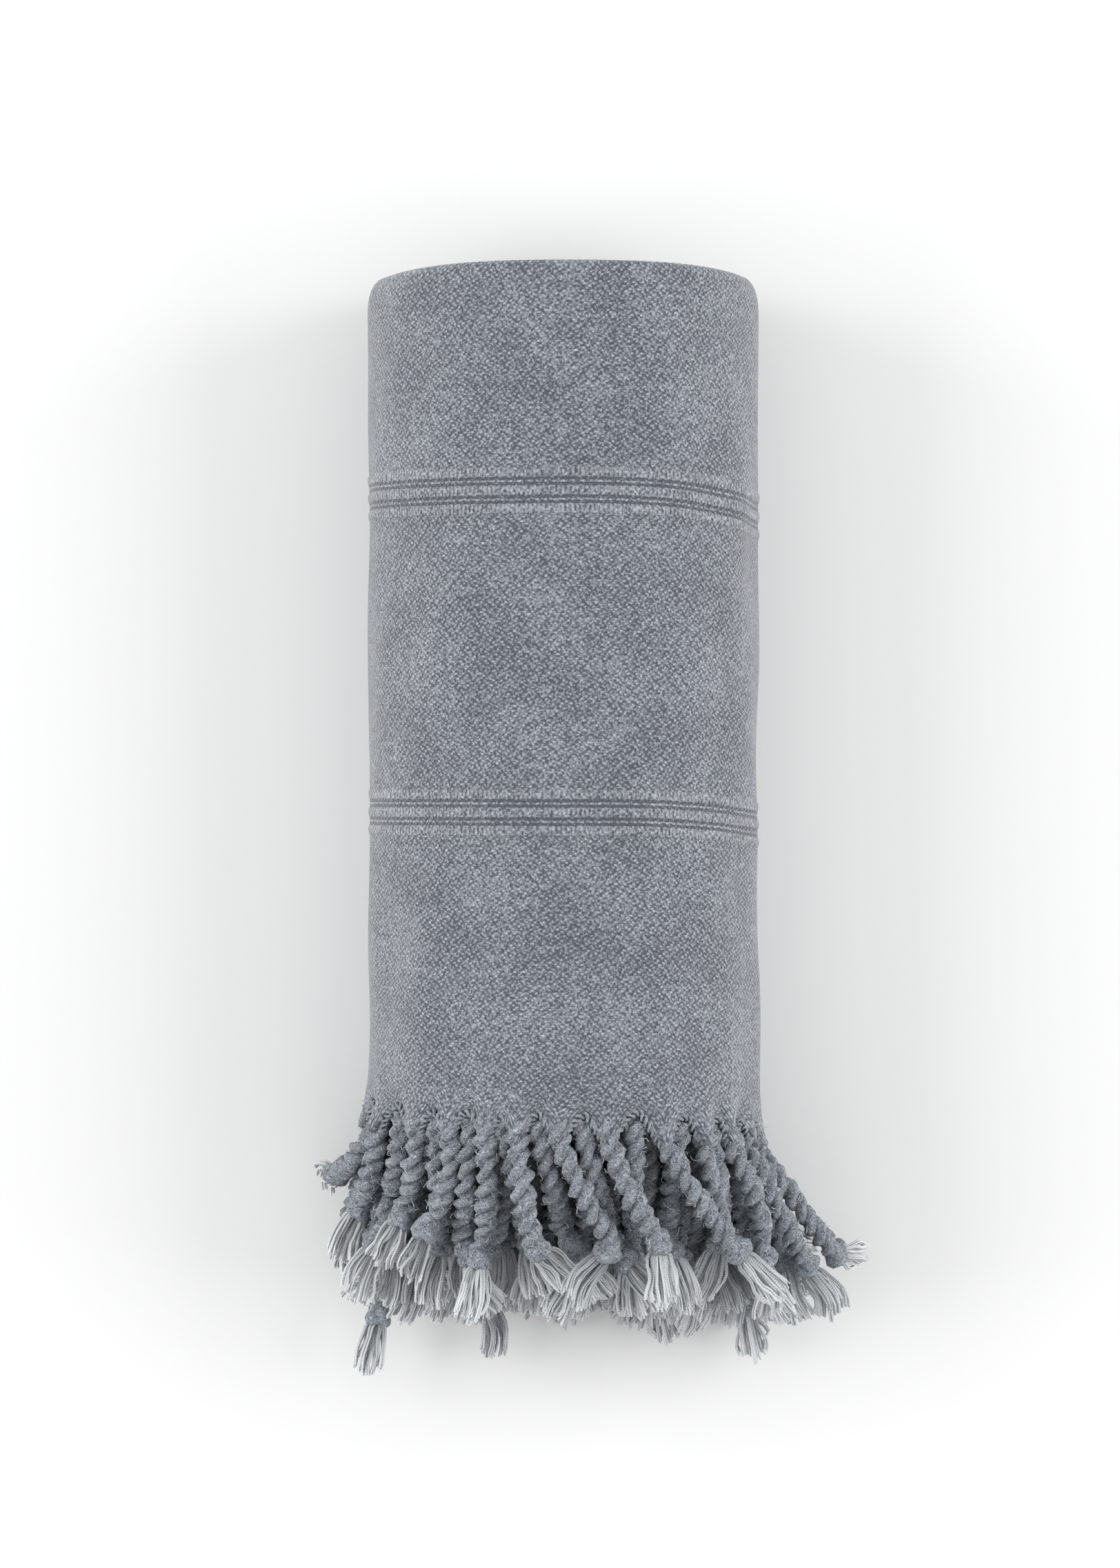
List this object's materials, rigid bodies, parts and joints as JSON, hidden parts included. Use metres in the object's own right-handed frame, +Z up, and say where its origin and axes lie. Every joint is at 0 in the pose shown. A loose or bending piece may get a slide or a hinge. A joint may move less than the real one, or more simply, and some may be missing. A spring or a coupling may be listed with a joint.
{
  "type": "rolled beach towel",
  "caption": "Thick woven cotton beach towel with two bands of raised ribs, folded and wound into a roll that lies on its side, its knotted tassel fringe spread out at one end.",
  "frame": {"origin": "on the surface, under the middle of the towel's box", "axes": "+Y along the roll, from the fringe towards the folded end; +Z up; +X to the right as seen from above with the fringe nearest"},
  "size_m": [0.1806, 0.3574, 0.1194],
  "materials": {
    "cloth": "stonewashed grey cotton in a broken twill, soft and matt",
    "fringe": "twisted cotton yarn, matt and slightly furry, paler at its cut ends"
  },
  "bodies": {
    "root": {"rolled_cloth": "cloth", "fringed_hem_outer": "fringe", "fringed_hem_inner": "fringe"}
  },
  "joints": []
}
